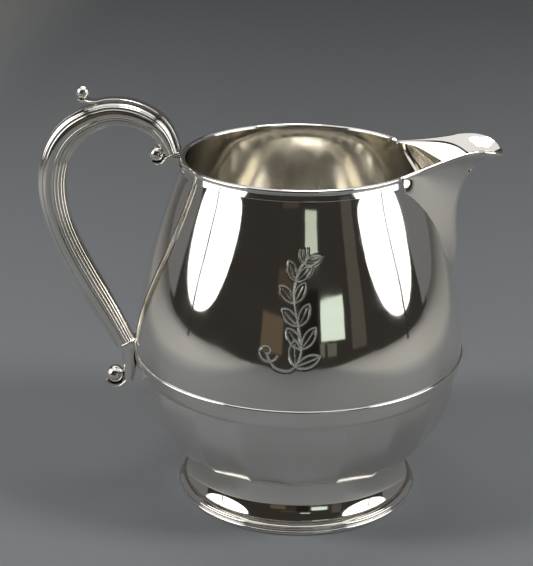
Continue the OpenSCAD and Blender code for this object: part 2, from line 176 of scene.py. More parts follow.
def silver(name, look, panels=0):
    mat = bpy.data.materials.new(name)
    mat.use_nodes = True
    tree = mat.node_tree
    tree.nodes.clear()
    add = adder(tree)
    place = add("ShaderNodeTexCoord").outputs["Object"]
    # slow changes in the polish, and fine wipe marks, long one way and short the other
    haze = add("ShaderNodeTexNoise", {"Scale": tarnish["scale"], "Detail": 5.0, "Vector": place})
    wipe = add("ShaderNodeMapping", {"Rotation": wipeMarks["turn"], "Scale": wipeMarks["scale"],
                                     "Vector": place})
    marks = add("ShaderNodeTexNoise", {"Scale": 1.0, "Detail": 3.0, "Vector": wipe.outputs[0]})
    blend = add("ShaderNodeMath", {0: marks.outputs["Fac"], 1: wipeMarks["share"], 2: haze.outputs["Fac"]},
                operation="MULTIPLY_ADD")
    rough = add("ShaderNodeMapRange", {"From Min": 0.5, "From Max": 0.85, "To Min": look["rough"][0],
                                       "To Max": look["rough"][1], "Value": blend.outputs[0]})
    # faint warm tarnish in patches
    ramp = add("ShaderNodeValToRGB", {"Fac": haze.outputs["Fac"]})
    warm = [c * share for c, share in zip(look["colour"], tarnish["tint"])]
    for stop, at, tone in ((0, tarnish["from"], warm), (1, tarnish["to"], look["colour"])):
        ramp.color_ramp.elements[stop].position = at
        ramp.color_ramp.elements[stop].color = (*tone, 1)
    colour = ramp.outputs[0]
    if panels:
        # every panel of the bowl was planished on its own
        split = add("ShaderNodeSeparateXYZ", {0: place})
        angle = add("ShaderNodeMath", {0: split.outputs["Y"], 1: split.outputs["X"]}, operation="ARCTAN2")
        count = add("ShaderNodeMath", {0: angle.outputs[0], 1: panels / (2 * math.pi)}, operation="MULTIPLY")
        whole = add("ShaderNodeMath", {0: count.outputs[0]}, operation="FLOOR")
        chance = add("ShaderNodeTexWhiteNoise", {"W": whole.outputs[0]}, noise_dimensions="1D")
        share = add("ShaderNodeMapRange", {"To Min": look["darkest"], "To Max": 1.0,
                                           "Value": chance.outputs["Value"]})
        tint = add("ShaderNodeMix", {"Factor": 1.0, "A": colour, "B": share.outputs[0]},
                   data_type="RGBA", blend_type="MULTIPLY")
        colour = tint.outputs["Result"]
    # hammer waves under the polish, then the wipe marks
    wave = add("ShaderNodeTexNoise", {"Scale": look["waveScale"], "Detail": 1.5, "Vector": place})
    low = add("ShaderNodeBump", {"Strength": 1.0, "Distance": look["wave"], "Height": wave.outputs["Fac"]})
    fine = add("ShaderNodeBump", {"Strength": 0.35, "Distance": look["grain"] * 0.1,
                                  "Height": marks.outputs["Fac"], "Normal": low.outputs[0]})
    shader = add("ShaderNodeBsdfPrincipled", {"Metallic": look.get("metal", 1.0), "Base Color": colour,
                                              "Roughness": rough.outputs[0], "Normal": fine.outputs[0]})
    add("ShaderNodeOutputMaterial", {"Surface": shader.outputs[0]})
    return mat


polished = silver("polishedSilver", silverFinish["polished"])
satin = silver("satinSilver", silverFinish["satin"])
panelSilver = silver("panelSilver", silverFinish["panel"], panels=20)
insideSilver = silver("insideSilver", silverFinish["inside"])
cutSilver = silver("cutSilver", silverFinish["cut"])
bowlInside = silver("bowlInside", silverFinish["bowlInside"])
bottomSilver = silver("bottomSilver", silverFinish["bottom"])
wireSilver = silver("wireSilver", silverFinish["wire"])
handleSilver = silver("handleSilver", silverFinish["handle"])
print("finishes made")

# lengths in the dictionaries of the pieces are millimetres, and angles are degrees
body = {"bellyR": 77.2, "beltZ": 71.7, "mouthR": 54.1, "mouthZ": 163.5, "bellyPull": 39.6, "neckPull": 10.0,
        "wall": 1.2, "hammer": 0.038, "hammerSize": 17.0}  # hammer is how far the polished wall still waves
bellyR, beltZ, mouthR, mouthZ = (body[label] for label in ("bellyR", "beltZ", "mouthR", "mouthZ"))
profile = [(bellyR, beltZ), (bellyR, beltZ + body["bellyPull"]),
           (mouthR + 0.05 * body["neckPull"], mouthZ - body["neckPull"]),
           (mouthR, mouthZ)]
profileLine = bez(profile, np.linspace(0, 1, 600))


def bodyR(z):
    return np.interp(z, profileLine[:, 1], profileLine[:, 0])


rim = {"wireR": 1.1, "filletH": 2.9, "filletT": 0.9}
spout = {"angle": 33.5, "reach": 36.2, "halfW": 15.0, "tailH": 37.3, "lipRise": 7.4, "tipRise": 3.2,
         "wall": 1.2, "wireR": 0.9, "inset": 6.0, "share": 0.42,
         # how the sheet leaves the seam and meets the lip, at the keel and at its sides
         "keelRise": (4.3, 0, 30.8), "sideRise": (-2.0, 0, 28.0), "keelFlare": 28.8, "sideFlare": 10.6,
         "keelLift": (0, 0, 11.5), "sideLift": (0, 0, 2.0)}
seamTop = mouthZ - rim["wireR"] - rim["filletH"] - 2.6
sideSin, sideCos = math.sin(math.radians(spout["angle"])), math.cos(math.radians(spout["angle"]))
tailZ = beltZ + spout["tailH"]
seamCurve = [(0, tailZ), (2.5, tailZ), (0.43 * bodyR(seamTop) * sideSin, seamTop - 15.5),
             (bodyR(seamTop) * sideSin, seamTop)]
tipX = mouthR + spout["reach"]
waistX = tipX - 10.5
lipStart = (mouthR * sideCos, mouthR * sideSin, mouthZ - 0.7)
lipFront = [(tipX, 0, mouthZ + spout["tipRise"]),
            (tipX, 0.56 * spout["halfW"], mouthZ + spout["tipRise"] + 1.2),
            (tipX - 3.4, 0.88 * spout["halfW"], mouthZ + spout["lipRise"] - 0.1),
            (waistX, spout["halfW"], mouthZ + spout["lipRise"])]
lipBack = [lipFront[3], (waistX - 7.5, spout["halfW"] + 1.8, mouthZ + spout["lipRise"] + 0.1),
           (waistX - 16, 0.62 * lipStart[1], mouthZ + 0.5 * spout["lipRise"]), lipStart]


def cutHalf(z):
    # half width of the opening under the spout at height z
    curve = bez(seamCurve, np.linspace(0.18, 1, 200))
    y = np.maximum(0.5, curve[:, 0] - spout["inset"])
    gap = np.interp(z, np.append(curve[:, 1] + 2, mouthZ + 5), np.append(y, y[-1] + 0.6))
    return np.where(z < curve[0, 1] + 2, 0.0, gap)


sprig = {"azimuth": -91.5, "z": 114.3, "size": 1.12, "depth": 0.2, "lineW": 0.33, "leaves": 6, "leafL": 9.6}


def sprigLines():
    # stem, scroll foot and paired leaves, as lines in (across, up) millimetres with a weight for each
    bends = [(-9, -15), (-5.5, -20.5), (1, -21), (4.5, -14), (3.2, -4), (1.2, 6), (2.6, 15), (6.4, 21)]
    stem = through(bends, np.linspace(0, 7, 90))
    turn = np.arange(30)
    curlR, curlAt = 4.4 * (1 - turn / 34), np.radians(-20 - 14 * turn)
    curl = np.stack([-8.7 + curlR * np.cos(curlAt), -14.4 + curlR * np.sin(curlAt)], 1)
    lines = [(stem, 1.3), (curl, 1.1)]
    edge, middle = np.linspace(0, 1, 22), np.linspace(0, 1, 14)
    for k, s in enumerate(np.linspace(2.3, 6.5, sprig["leaves"])):
        root = through(stem, [s / 7 * 89])[0]
        ahead = through(stem, [min(89, s / 7 * 89 + 1)])[0]
        d = (ahead - root) / np.linalg.norm(ahead - root)
        size = sprig["leafL"] * (1 - 0.06 * k)
        for side in (-1, 1):
            q = np.array([-d[1], d[0]]) * side
            tip = root + d * size * 0.86 + q * size * 0.62
            above = bez([root, root + q * size * 0.34, tip - d * size * 0.5 + q * size * 0.1, tip], edge)
            below = bez([root, root + d * size * 0.42, tip - q * size * 0.42, tip], edge)
            vein = bez([root, mix(root, tip, 0.3) + q * 0.2, mix(root, tip, 0.6) + q * 0.2,
                        mix(root, tip, 0.82)], middle)
            lines += [(above, 1.0), (below, 1.0), (vein, 0.7)]
    return [(line * sprig["size"], weight) for line, weight in lines]


def sprigDepth(across, up):
    depth = np.zeros(across.shape)
    for line, weight in sprigLines():
        near = np.full(across.shape, 1e9)
        low, high = line.min(0) - 1.5, line.max(0) + 1.5
        box = (across > low[0]) & (across < high[0]) & (up > low[1]) & (up < high[1])
        if not box.any():
            continue
        px, py = across[box], up[box]
        best = np.full(px.shape, 1e9)
        for (ax, ay), (bx, by) in zip(line[:-1], line[1:]):
            dx, dy = bx - ax, by - ay
            t = np.clip(((px - ax) * dx + (py - ay) * dy) / (dx * dx + dy * dy + 1e-12), 0, 1)
            best = np.minimum(best, np.hypot(px - ax - t * dx, py - ay - t * dy))
        near[box] = best
        w = sprig["lineW"] * (0.75 + 0.25 * weight)
        depth = np.maximum(depth, weight * sprig["depth"] * np.exp(-(near / w) ** 2))
    return depth


def buildUpperBody():
    # the wall is finely divided where the sprig is cut, and coarsely inside and elsewhere
    zone, tall, fine = 16.0, 26.5, 0.22
    heights = np.concatenate([np.linspace(beltZ, sprig["z"] - tall, 14)[:-1],
                              np.arange(sprig["z"] - tall, sprig["z"] + tall, fine),
                              np.linspace(sprig["z"] + tall, mouthZ, 26)])
    cutStart = bez(seamCurve, np.array([0.18]))[0][1] + 2
    k = int(np.argmin(abs(heights - cutStart)))
    heights[k] = cutStart - 1e-6
    angle = np.degrees(zone / 70.0)
    mid = sprig["azimuth"] % 360
    dense = np.arange(mid - angle, mid + angle + 0.01, np.degrees(fine / 71))
    azimuths = np.concatenate([np.linspace(0, mid - angle, 76)[:-1], dense,
                               np.linspace(dense[-1], 360, 32)[1:]])
    top = len(heights) - 1
    coarseRows = sorted({*range(0, top + 1, 4), top, k, *range(k, min(k + 12, top))})
    denseFrom, denseTo = 75, 75 + len(dense)
    coarseCols = [j for j in range(len(azimuths))
                  if j < denseFrom or j >= denseTo or (j - denseFrom) % 5 == 0 or j == len(azimuths) - 1]

    def bent(half, radius):
        start = np.degrees(np.arcsin(np.clip(half / radius, 0, 1)))
        a = azimuths
        return np.where(a < 60, start + a * (60 - start) / 60,
                        np.where(a > 300, 360 - start - (360 - a) * (60 - start) / 60, a))

    points, depthOf = [], []
    outer = np.zeros((len(heights), len(azimuths)), int)
    slope = np.gradient(profileLine[:, 0], profileLine[:, 1])
    for i, z in enumerate(heights):
        r = float(bodyR(z))
        half = float(cutHalf(np.array(z)))
        a = bent(half, r)
        across = np.radians((a - mid + 180) % 360 - 180) * r
        sink = np.zeros(len(a))
        near = abs(across) < zone - 0.5
        if abs(z - sprig["z"]) < tall:
            sink[near] = sprigDepth(across[near], np.full(near.sum(), z - sprig["z"]))
        dr = float(np.interp(z, profileLine[:, 1], slope))
        size = math.hypot(1, dr)
        for j, ang in enumerate(np.radians(a)):
            c, s = math.cos(ang), math.sin(ang)
            p = Vector((r * c, r * s, z)) / body["hammerSize"]
            fade = float(smoothStep((z - beltZ) / 5) * smoothStep((mouthZ - 5 - z) / 6))
            lump = (noise.noise(p) + 0.22 * noise.noise(p * 2.7)) * body["hammer"] * fade
            d = lump - sink[j]
            depthOf.append(sink[j])
            points.append(((r + d / size) * c, (r + d / size) * s, z - d * dr / size))
            outer[i, j] = len(points) - 1
    inner = {}
    for i in coarseRows:
        z = heights[i]
        r = float(bodyR(z)) - body["wall"]
        a = bent(float(cutHalf(np.array(z))), r)
        for j in coarseCols:
            ang = math.radians(a[j])
            points.append((r * math.cos(ang), r * math.sin(ang), z))
            inner[i, j] = len(points) - 1
    faces = []
    for i in range(top):
        for j in range(len(azimuths) - 1):
            faces.append((outer[i, j], outer[i, j + 1], outer[i + 1, j + 1], outer[i + 1, j]))
    outerCount = len(faces)
    for a, b in zip(coarseRows[:-1], coarseRows[1:]):
        for c, d in zip(coarseCols[:-1], coarseCols[1:]):
            faces.append((inner[a, c], inner[b, c], inner[b, d], inner[a, d]))
    for c, d in zip(coarseCols[:-1], coarseCols[1:]):
        faces.append(tuple(outer[0, j] for j in range(d, c - 1, -1)) + (inner[0, c], inner[0, d]))
        faces.append(tuple(outer[top, j] for j in range(c, d + 1)) + (inner[top, d], inner[top, c]))
    last = len(azimuths) - 1
    for a, b in zip(coarseRows[:-1], coarseRows[1:]):
        if a < k:
            continue
        faces.append(tuple(outer[i, 0] for i in range(a, b + 1)) + (inner[b, 0], inner[a, 0]))
        faces.append(tuple(outer[i, last] for i in range(b, a - 1, -1)) + (inner[a, last], inner[b, last]))
    piece = makePiece("upperBody", points, faces, polished)
    piece.data.materials.append(insideSilver)
    piece.data.materials.append(cutSilver)
    # the cuts stay a little rougher than the wall, and the inside takes the duller finish
    cuts = [f for f in range(outerCount) if min(depthOf[v] for v in faces[f]) > 0.35 * sprig["depth"]]
    for f in cuts:
        piece.data.polygons[f].material_index = 2
    for f in piece.data.polygons:
        c, n = f.center, f.normal
        if n.x * c.x + n.y * c.y < 0:
            f.material_index = 1
    return piece


upperBody = buildUpperBody()
finishPiece(upperBody, ["upper_body"])
print("upper body made")

belt = {"bandH": 8.0, "taper": 1.1, "wireH": 1.7, "step": 0.4}
bandZ = beltZ - belt["bandH"]
bandR = bellyR - belt["taper"]
cornerR = bandR - belt["step"]
bandSkin = [(bellyR - 0.15, beltZ), (bellyR - 0.28, beltZ - 0.5),
            (mix(bellyR, bandR, 0.5) + 0.02, beltZ - 4), (bandR + 0.1, bandZ + 1.0),
            (bandR - 0.02, bandZ + 0.7), (bandR - 0.26, bandZ + 0.28), (bandR - 0.42, bandZ + 0.02),
            (cornerR - body["wall"] - 0.4, bandZ), (bellyR - body["wall"], beltZ)]
beltBand = turned("beltBand", bandSkin, satin)
finishPiece(beltBand, ["belt_band"])


def nodeTree(name, sockets):
    tree = bpy.data.node_groups.new(name, "GeometryNodeTree")
    tree.interface.new_socket("Geometry", in_out="INPUT", socket_type="NodeSocketGeometry")
    named = {}
    for label, kind, value in sockets:
        socket = tree.interface.new_socket(label, in_out="INPUT", socket_type=kind)
        if value is not None:
            socket.default_value = value
        named[label] = socket.identifier
    tree.interface.new_socket("Geometry", in_out="OUTPUT", socket_type="NodeSocketGeometry")
    return tree, tree.nodes.new("NodeGroupInput"), tree.nodes.new("NodeGroupOutput"), named


def finishTree(tree, last, start, end):
    # every tree ends in real geometry with its finish set
    add = adder(tree)
    real = add("GeometryNodeRealizeInstances", {"Geometry": last})
    paint = add("GeometryNodeSetMaterial", {"Geometry": real.outputs[0],
                                            "Material": start.outputs["Material"]})
    tree.links.new(paint.outputs[0], end.inputs["Geometry"])


def wireTree():
    tree, start, end, named = nodeTree("wireAlongPath", [("Wire radius", "NodeSocketFloat", 0.001),
                                                         ("Sides", "NodeSocketInt", 16),
                                                         ("Material", "NodeSocketMaterial", None)])
    add = adder(tree)
    path = add("GeometryNodeMeshToCurve", {"Mesh": start.outputs["Geometry"]})
    ring = add("GeometryNodeCurvePrimitiveCircle", {"Radius": start.outputs["Wire radius"],
                                                    "Resolution": start.outputs["Sides"]})
    sweep = add("GeometryNodeCurveToMesh", {"Curve": path.outputs[0], "Profile Curve": ring.outputs["Curve"],
                                            "Fill Caps": True})
    finishTree(tree, sweep.outputs[0], start, end)
    return tree, named


def runTree(name, source, tree, named, values, edgeAngle=32):
    # source is a plain mesh; the result is a plain mesh with no modifier left
    holder = bpy.data.objects.new(name + "Source", source)
    bpy.context.scene.collection.objects.link(holder)
    mod = holder.modifiers.new("nodes", "NODES")
    mod.node_group = tree
    for label, value in values.items():
        mod[named[label]] = value
    graph = bpy.context.evaluated_depsgraph_get()
    mesh = bpy.data.meshes.new_from_object(holder.evaluated_get(graph))
    mesh.name = name
    holder.modifiers.remove(mod)
    bpy.data.objects.remove(holder)
    piece = bpy.data.objects.new(name, mesh)
    bpy.context.scene.collection.objects.link(piece)
    mergeAndSmooth(piece, edgeAngle)
    return piece


def outward(piece):
    # turn a closed mesh so that it faces out
    work = bmesh.new()
    work.from_mesh(piece.data)
    if work.calc_volume(signed=True) < 0:
        bmesh.ops.reverse_faces(work, faces=work.faces)
        work.to_mesh(piece.data)
    work.free()
    return piece


def pathMesh(name, points, closed=False):
    mesh = bpy.data.meshes.new(name)
    edges = [(i, i + 1) for i in range(len(points) - 1)]
    if closed:
        edges.append((len(points) - 1, 0))
    mesh.from_pydata([tuple(float(c) * mm for c in p) for p in points], edges, [])
    return mesh


wires, wireNames = wireTree()
beltR = bellyR - 0.05
beltRing = [(beltR * math.cos(a), beltR * math.sin(a), beltZ)
            for a in np.linspace(0, 2 * math.pi, 257)[:-1]]
beltWire = outward(runTree("beltWire", pathMesh("beltPath", beltRing, True), wires, wireNames,
                           {"Wire radius": belt["wireH"] / 2 * mm, "Sides": 20, "Material": wireSilver}))
finishPiece(beltWire, ["belt_wire"])
print("belt made")

bowl = {"panels": 20, "baseZ": 24.0, "baseR": 50.0, "soft": 0.05, "wall": 1.2}
baseZ, baseR = bowl["baseZ"], bowl["baseR"]
knee = np.array([cornerR - 14.4, baseZ + 3.4])
sideLine = [(cornerR, bandZ), (cornerR, bandZ - 12), (knee[0] + 8, knee[1] + 9.4), tuple(knee)]
underLine = [tuple(knee), (knee[0] - 1.3, knee[1] - 1.6), (knee[0] - 4, baseZ + 1.2),
             (baseR, baseZ)]


def panelWedge():
    # one panel from its left corner to its right one, outer and inner wall and the floor to the middle
    half = math.pi / bowl["panels"]
    line = np.concatenate([bez(sideLine, np.linspace(0, 1, 45)), bez(underLine, np.linspace(0, 1, 17)[1:])])
    tangent = np.gradient(line, axis=0)
    tangent /= np.linalg.norm(tangent, axis=1)[:, None]
    inner = line + np.stack([tangent[:, 1], -tangent[:, 0]], 1) * bowl["wall"]
    inner[0, 1] = bandZ
    skin = np.concatenate([line, inner[::-1]])
    shares = np.concatenate([np.linspace(-1, -0.94, 6), np.linspace(-0.94, 0.94, 13)[1:-1],
                             np.linspace(0.94, 1, 6)])
    points, faces = [], []
    under = np.clip(np.arange(len(line)) - 44, 0, 16) / 16.0
    blend = np.concatenate([under, under[::-1]])
    for u in shares:
        a = u * half
        flat = math.cos(half) / math.cos(a)
        # the corners between panels are a little soft
        edge = max(0.0, abs(u) - (1 - bowl["soft"])) / bowl["soft"]
        dull = 1 - 0.0009 * edge ** 2
        for (r, z), b in zip(skin, blend):
            q = r * flat * mix(dull, 1.0, b)
            points.append((q * math.cos(a), q * math.sin(a), z))
    n, m = len(skin), len(line)
    for k in range(len(shares) - 1):
        for i in range(n):
            if i == m - 1:
                continue
            j = (i + 1) % n
            faces.append((k * n + i, (k + 1) * n + i, (k + 1) * n + j, k * n + j))
    for z, i, turn in ((line[-1][1], m - 1, 1), (inner[-1][1], m, -1)):
        points.append((0, 0, z))
        for k in range(len(shares) - 1):
            f = (len(points) - 1, k * n + i, (k + 1) * n + i)
            faces.append(f if turn < 0 else f[::-1])
    mesh = bpy.data.meshes.new("panelWedge")
    mesh.from_pydata([tuple(float(c) * mm for c in p) for p in points], [], faces)
    return mesh


def panelTree():
    tree, start, end, named = nodeTree("panelsRound", [("Panels", "NodeSocketInt", 20),
                                                       ("Merge distance", "NodeSocketFloat", 0.000005),
                                                       ("Material", "NodeSocketMaterial", None)])
    add = adder(tree)
    spots = add("GeometryNodeMeshLine", {"Count": start.outputs["Panels"], "Offset": (0, 0, 0)})
    index = add("GeometryNodeInputIndex")
    step = add("ShaderNodeMath", {0: 2 * math.pi, 1: start.outputs["Panels"]}, operation="DIVIDE")
    halfStep = add("ShaderNodeMath", {0: step.outputs[0], 1: 0.5}, operation="MULTIPLY")
    angle = add("ShaderNodeMath", {0: index.outputs[0], 1: step.outputs[0], 2: halfStep.outputs[0]},
                operation="MULTIPLY_ADD")
    turn = add("ShaderNodeCombineXYZ", {"Z": angle.outputs[0]})
    rotation = add("FunctionNodeEulerToRotation", {0: turn.outputs[0]})
    copy = add("GeometryNodeInstanceOnPoints", {"Points": spots.outputs[0], "Rotation": rotation.outputs[0],
                                                "Instance": start.outputs["Geometry"]})
    real = add("GeometryNodeRealizeInstances", {"Geometry": copy.outputs[0]})
    merge = add("GeometryNodeMergeByDistance", {"Geometry": real.outputs[0],
                                                "Distance": start.outputs["Merge distance"]})
    finishTree(tree, merge.outputs[0], start, end)
    return tree, named


panels, panelNames = panelTree()
panelValues = {"Panels": bowl["panels"], "Merge distance": 0.000005, "Material": panelSilver}
lowerBowl = outward(runTree("lowerBowl", panelWedge(), panels, panelNames, panelValues, 6))
for finish in (bowlInside, bottomSilver):
    lowerBowl.data.materials.append(finish)
# walls inside, and the round bottom inside
for f in lowerBowl.data.polygons:
    c, n = f.center, f.normal
    if n.z > 0.9 and c.z < 30 * mm:
        f.material_index = 2
    elif n.x * c.x + n.y * c.y < -1e-6 and c.z > (baseZ + 0.6) * mm:
        f.material_index = 1
finishPiece(lowerBowl, ["lower_bowl"])
print("bowl made")

foot = {"r": 58.0, "wireH": 2.1, "grooveZ": 5.6, "collarH": 1.4, "wall": 1.2}
footR, grooveZ = foot["r"], foot["grooveZ"]
footTop = baseZ - foot["collarH"]
grooveR = footR - 3.9
flare = [(baseR, footTop), (baseR, grooveZ + 7.4),
         (grooveR - 2.9, grooveZ + 3.6), (grooveR, grooveZ)]
flareLine = [tuple(p) for p in bez(flare, np.linspace(0, 1, 41))]
footSkin = (flareLine + [(grooveR + 0.05, grooveZ - 0.45), (grooveR + 0.35, grooveZ - 0.62)]
            + [(grooveR + 0.8 + 1.9 * t, grooveZ - 0.6 - 1.15 * t ** 1.6)
               for t in np.linspace(0, 1, 9)]
            + arc(footR - 1.5, foot["wireH"] + 0.9, 0.9, 50, -60, 14)
            + [(footR - 1.2, foot["wireH"]), (footR - 2.4, foot["wireH"])]
            + [(r - foot["wall"], z - foot["wall"] * (footTop - z) / footTop)
               for r, z in reversed(flareLine)])
footPiece = turned("foot", footSkin, polished, edgeAngle=40)
finishPiece(footPiece, ["foot"])

collarSkin = arc(baseR - 0.2, baseZ - 0.7, 1.5, -27.8, 27.8, 10)
collarSkin += [(baseR - 1.2, baseZ), (baseR - 1.2, footTop)]
footCollar = turned("footCollar", collarSkin, wireSilver, 192)
finishPiece(footCollar, ["foot_collar"])

ringR = footR - foot["wireH"] / 2
wireSkin = [(footR - 2.4, 0.0)] + arc(ringR, foot["wireH"] / 2, foot["wireH"] / 2, -90, 90, 18)
wireSkin += [(footR - 2.4, foot["wireH"])]
footRimWire = turned("footRimWire", wireSkin, wireSilver)
finishPiece(footRimWire, ["foot_rim_wire"])
print("foot made")

filletZ = mouthZ - rim["wireR"] - rim["filletH"]
filletR = float(bodyR(filletZ)) + rim["filletT"]
topR, beadZ = mouthR + rim["filletT"], mouthZ - rim["wireR"]
rimSkin = ([(mouthR - 0.05, mouthZ - 0.2), (filletR - rim["filletT"] - 0.1, filletZ),
            (filletR - 0.3, filletZ), (filletR - 0.09, filletZ + 0.08), (filletR, filletZ + 0.3),
            (topR, beadZ - 0.45), (topR - 0.1, beadZ - 0.25), (mouthR + 0.5, beadZ - 0.1)]
           + arc(mouthR + 0.4, mouthZ, rim["wireR"], -62, 180, 28))


def rimRings():
    # the moulding thins out over its last few degrees, beside the spout
    first, last = spout["angle"], 360 - spout["angle"]
    rings = []
    for a in np.concatenate([np.linspace(first, first + 6, 20)[:-1], np.linspace(first + 6, last - 6, 240),
                             np.linspace(last - 6, last, 20)[1:]]):
        share = 0.25 + 0.75 * float(smoothStep(min(a - first, last - a) / 4.5))
        c, n = math.cos(math.radians(a)), math.sin(math.radians(a))
        skin = [(mix(mouthR, r, share), mix(mouthZ - 0.6, z, share)) for r, z in rimSkin]
        rings.append([(c * r, n * r, z) for r, z in skin])
    return rings


rimMoulding = makePiece("rimMoulding", *ringGrid(rimRings()), wireSilver, 38)
finishPiece(rimMoulding, ["rim_moulding"])
print("rim made")


def lipPoint(s):
    s = np.asarray(s, float)
    a = bez(lipFront, np.clip(s / spout["share"], 0, 1))
    b = bez(lipBack, np.clip((s - spout["share"]) / (1 - spout["share"]), 0, 1))
    return np.where((s < spout["share"])[..., None], a, b)


def seamPoint(s):
    p = bez(seamCurve, s)
    r = bodyR(p[..., 1])
    return np.stack([np.sqrt(np.maximum(0, r * r - p[..., 0] ** 2)), p[..., 0], p[..., 1]], -1)


def lipOut(s):
    s = np.asarray(s, float)
    d = lipPoint(np.minimum(1, s + 0.01)) - lipPoint(np.maximum(0, s - 0.01))
    o = np.stack([d[..., 1], -d[..., 0], 0 * d[..., 0]], -1)
    return o / np.linalg.norm(o, axis=-1)[..., None]


keelRun = np.linalg.norm(lipPoint(np.array(0.0)) - seamPoint(np.array(0.0)))


def sheetAt(s, t):
    # s from -1 to 1 across the spout, t from the seam to the lip
    u = np.abs(s)
    a, b = seamPoint(u), lipPoint(u)
    k = (np.linalg.norm(b - a, axis=-1) / keelRun)[..., None]
    ease = smoothStep(u)[..., None]
    rise = mix(np.array(spout["keelRise"]), np.array(spout["sideRise"]), ease) * k
    lean = mix(lipOut(u) * spout["keelFlare"] + np.array(spout["keelLift"]),
               lipOut(u) * spout["sideFlare"] + np.array(spout["sideLift"]), ease) * k
    t = np.asarray(t, float)[..., None]
    p = (1 - t) ** 3 * a + 3 * (1 - t) ** 2 * t * (a + rise) + 3 * (1 - t) * t * t * (b - lean) + t ** 3 * b
    return p * np.where(s < 0, -1, 1)[..., None] ** np.array([0, 1, 0])


def sheetNormal(s, t):
    e = 0.02
    c, h = np.clip(s, -1 + e, 1 - e), np.maximum(e, t)
    n = np.cross(sheetAt(c + e, h) - sheetAt(c - e, h), sheetAt(c, h + e) - sheetAt(c, h - e))
    return n / np.linalg.norm(n, axis=-1)[..., None]


def buildSpout():
    across, along = 128, 56
    s, t = np.meshgrid(np.linspace(-1, 1, across + 1), np.linspace(0, 1, along + 1), indexing="ij")
    outside = sheetAt(s, t)
    inside = outside - spout["wall"] * sheetNormal(s, t)
    rings = [list(map(tuple, outside[i])) + list(map(tuple, inside[i][::-1])) for i in range(across + 1)]
    return makePiece("spout", *ringGrid(rings), polished, 40)


spoutPiece = buildSpout()
finishPiece(spoutPiece, ["spout"])
lipPath = sheetAt(np.linspace(-1, 1, 161), np.ones(161)) + np.array([0, 0, 0.2])
lipWire = outward(runTree("lipWire", pathMesh("lipPath", lipPath), wires, wireNames,
                          {"Wire radius": spout["wireR"] * mm, "Sides": 16, "Material": wireSilver}, 40))
finishPiece(lipWire, ["spout_lip_wire"])
print("spout made")

handle = {"reach": 57.1, "stand": 6.4, "width": 13.0, "taper": 0.8, "rings": 260}
# middle line of the handle as (share of the reach, share of the height, depth)
knots = [(-0.027, 1.011, 6.4), (0.07, 1.084, 9), (0.185, 1.145, 10.4), (0.37, 1.192, 11.6),
         (0.58, 1.206, 12.2), (0.765, 1.175, 12.9), (0.926, 1.107, 13.9), (1.014, 0.995, 13.8),
         (1, 0.842, 13.5), (0.893, 0.679, 12.7), (0.728, 0.521, 12.6), (0.491, 0.341, 12.8),
         (0.228, 0.159, 12.1), (-0.014, -0.013, 10.2)]
lastKnot = len(knots) - 1
bodyH = mouthZ - beltZ


def knotAt(s):
    # average over a short stretch, so that bends flow into each other
    s = np.atleast_1d(np.asarray(s, float))
    reach = np.minimum(0.5, np.minimum(s, lastKnot - s).clip(0))
    shares = np.linspace(-1, 1, 9)
    weights = np.exp(-2 * shares ** 2)
    return sum(w * through(knots, s + reach * d) for w, d in zip(weights, shares)) / weights.sum()


def spine(s):
    k = knotAt(s)
    x = -(mix(bellyR, mouthR, k[:, 1]) + mix(handle["stand"], handle["reach"], k[:, 0]))
    return np.stack([x, beltZ + k[:, 1] * bodyH], 1)


def depthAt(s):
    return knotAt(s)[:, 2]


def widthAt(s):
    m = np.asarray(s, float) / lastKnot
    return handle["width"] * mix(handle["taper"], 1, smoothStep(np.minimum(m, 1 - m) * 4))


def outDir(s):
    s = np.atleast_1d(np.asarray(s, float))
    d = spine(np.minimum(lastKnot, s + 0.05)) - spine(np.maximum(0, s - 0.05))
    o = np.stack([d[:, 1], -d[:, 0]], 1)
    return o / np.linalg.norm(o, axis=1)[:, None]


def place(s, u):
    return spine(s) + outDir(s) * np.asarray(u)[:, None]


# grooves of the half section from the strip to the inner edge, as (outward share, sideways share), each with
# how far the reed after it swells
reedGrooves = [(0.90, 0.36, 1.055), (0.70, 0.77, 1.075), (0.49, 0.87, 1.0), (-0.085, 0.915, 0.99),
               (-0.33, 0.85, 0.985), (-0.535, 0.73, 0.985), (-0.745, 0.525, 0.985)]


def reedSection():
    # closed outline of one half in shares of half the depth and half the width
    outline = [(0.925, 0.0), (0.925, 0.15), (0.92, 0.34)]
    for (u0, v0, swell), (u1, v1, _) in zip(reedGrooves[:-1], reedGrooves[1:]):
        mid = np.array([u0 + u1, v0 + v1]) / 2
        q = mid / np.linalg.norm(mid)
        lift = swell - np.linalg.norm(mid)
        for k in range(14):
            a = math.pi * k / 14
            t = (1 - math.cos(a)) / 2
            bulge = lift * math.sin(a)
            outline.append((mix(u0, u1, t) + q[0] * bulge, mix(v0, v1, t) + q[1] * bulge))
    u, v, _ = reedGrooves[-1]
    outline += [(u - (0.985 + u) * math.sin(a), v * math.cos(a)) for a in np.linspace(0, math.pi / 2, 12)]
    inner = [(0.72 * math.cos(a), 0.7 * math.sin(a)) for a in np.linspace(math.pi, 0, 15)]
    return outline, inner


